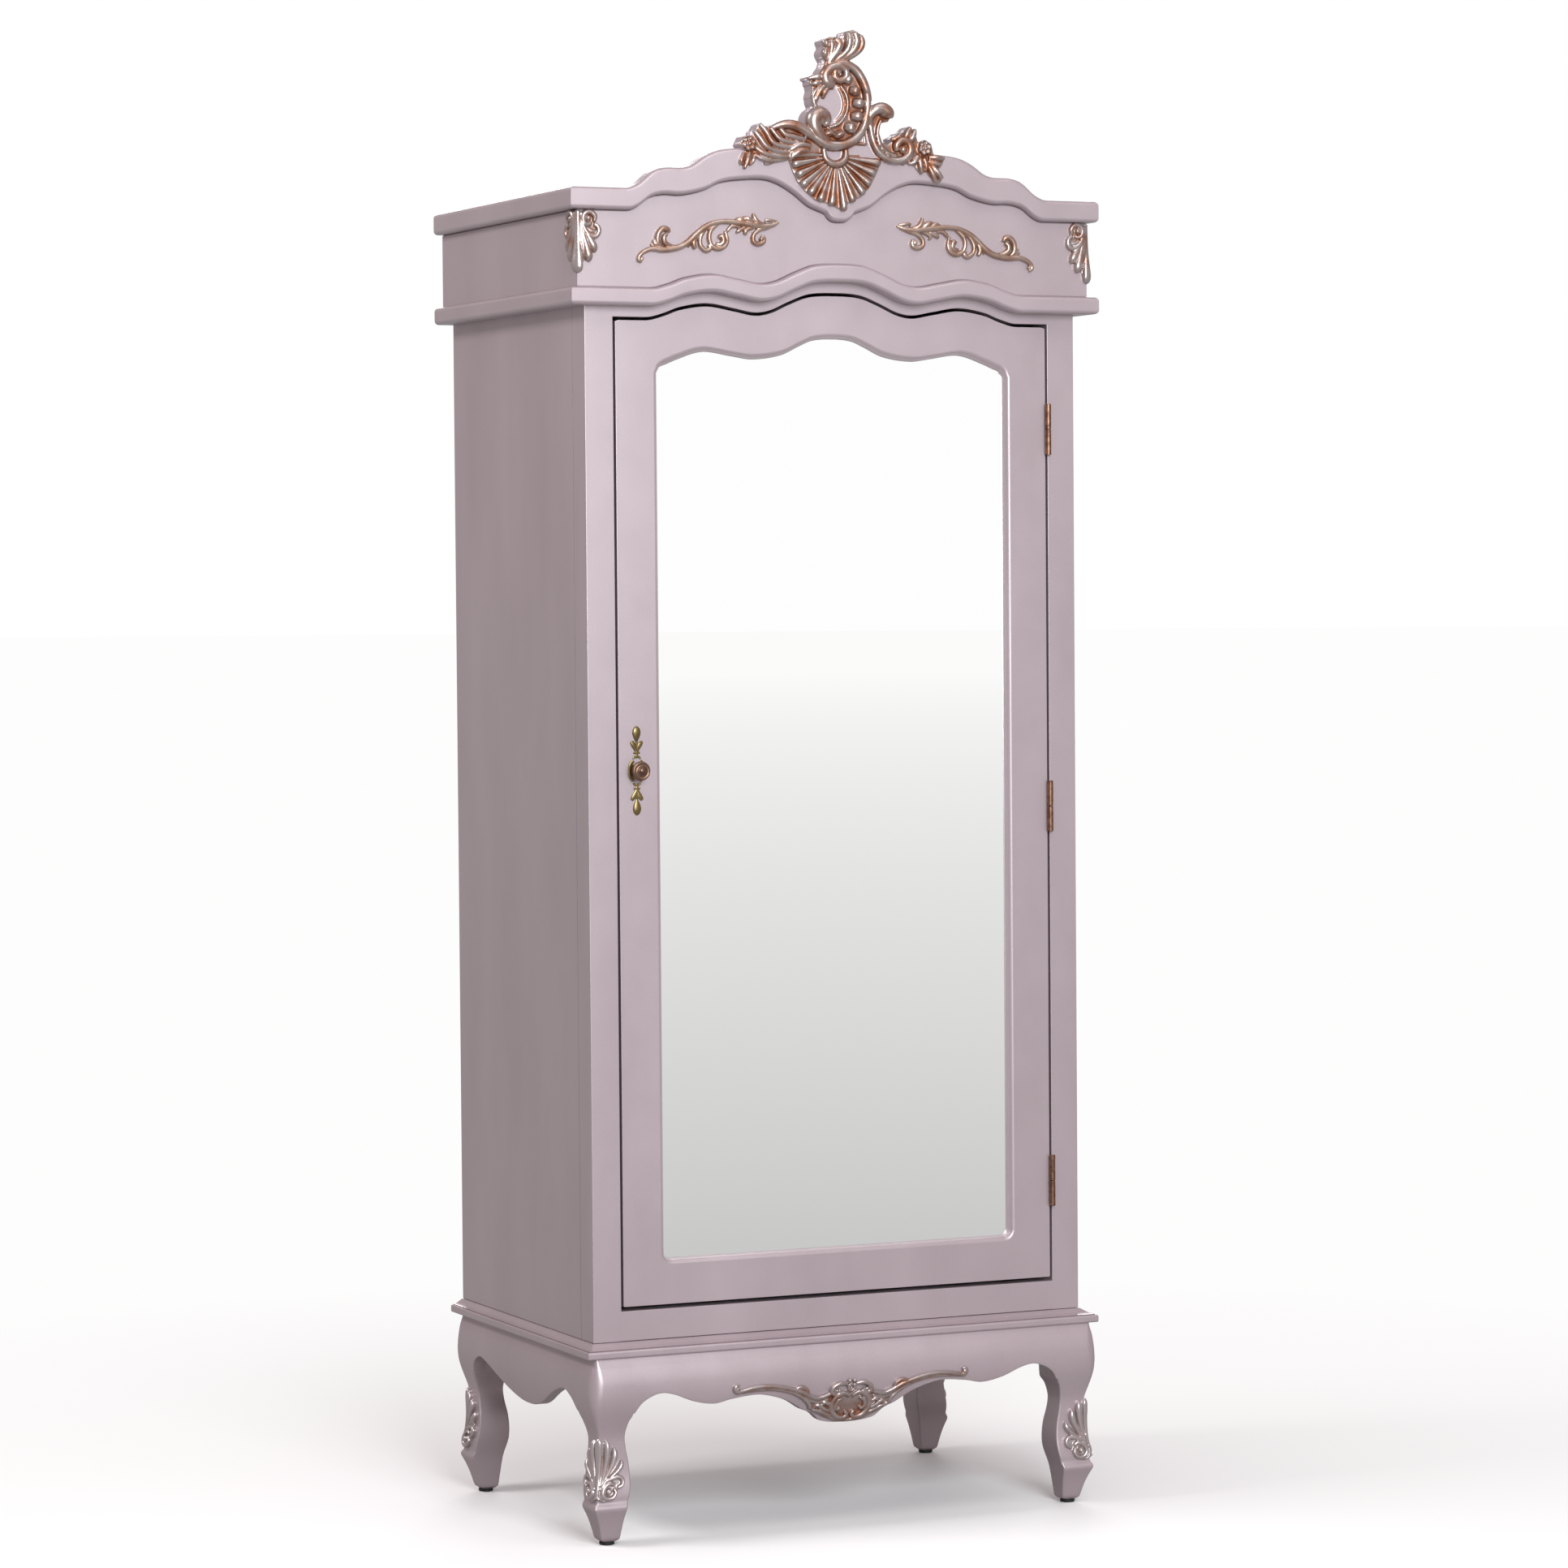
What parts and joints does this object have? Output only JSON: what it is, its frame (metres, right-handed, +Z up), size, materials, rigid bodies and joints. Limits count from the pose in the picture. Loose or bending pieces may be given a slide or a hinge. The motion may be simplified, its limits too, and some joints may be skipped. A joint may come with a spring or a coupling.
{
  "type": "armoire",
  "caption": "Tall one-door armoire on cabriole legs, with a mirrored hinged door, a serpentine moulded crown with carved crest, a hat shelf and a hanging rail.",
  "frame": {"origin": "on the floor, under the middle of the piece's overall box", "axes": "+Z up, -Y out of the front (the door), +X towards the hinge side of the door"},
  "size_m": [0.85, 0.5692, 2.193],
  "materials": {
    "lacquer": "champagne-mauve metallic lacquer on wood, satin",
    "inside": "lacquered board, matt",
    "carving": "carved wood, silver metallic with antique gold wiped into the hollows",
    "gilding": "carved wood, antique copper-gold under worn silver",
    "brass": "antique brass",
    "bronze": "antique bronze",
    "mirror": "silvered glass",
    "backing": "bare hardboard",
    "steel": "satin nickel-plated steel",
    "rubber": "black nylon glide"
  },
  "bodies": {
    "carcass": {"leg_front_left": "lacquer", "leg_front_right": "lacquer", "leg_rear_left": "lacquer", "leg_rear_right": "lacquer", "glide_front_left": "rubber", "glide_front_right": "rubber", "glide_rear_left": "rubber", "glide_rear_right": "rubber", "apron_front": "lacquer", "apron_left": "lacquer", "apron_right": "lacquer", "apron_rear": "lacquer", "base_moulding_front": "lacquer", "base_moulding_left": "lacquer", "base_moulding_right": "lacquer", "architrave_front": "lacquer", "architrave_left": "lacquer", "architrave_right": "lacquer", "frieze_front": "lacquer", "frieze_left": "lacquer", "frieze_right": "lacquer", "pediment_board": "lacquer", "cornice_left": "lacquer", "cornice_right": "lacquer", "crown_top_panel": "inside", "post_left": "lacquer", "post_right": "lacquer", "side_panel_left": "lacquer", "side_panel_right": "lacquer", "bottom_rail": "lacquer", "top_rail": "lacquer", "back_panel": "inside", "bottom_panel": "inside", "top_panel": "inside", "hat_shelf": "inside", "hanging_rail": "steel", "rail_socket_left": "steel", "rail_socket_right": "steel", "hinge_frame_leaf_lower": "brass", "hinge_frame_leaf_middle": "brass", "hinge_frame_leaf_upper": "brass", "catch_body": "steel", "crest_carving": "carving", "frieze_scroll_left": "gilding", "frieze_scroll_right": "gilding", "corner_ornament_left": "carving", "corner_ornament_right": "carving", "apron_ornament": "carving"},
    "door": {"door_stile_left": "lacquer", "door_stile_right": "lacquer", "door_bottom_rail": "lacquer", "door_top_rail": "lacquer", "mirror_glass": "mirror", "mirror_backing": "backing", "knob": "bronze", "knob_backplate": "brass", "hinge_door_leaf_lower": "brass", "hinge_door_leaf_middle": "brass", "hinge_door_leaf_upper": "brass", "catch_strike": "steel"}
  },
  "joints": [
    {"name": "door_hinge", "type": "hinge", "parent": "carcass", "child": "door", "pos_m": [0.3495, -0.2484, 1.051], "axis": [0, 0, 1], "range_deg": [0, 170]}
  ]
}
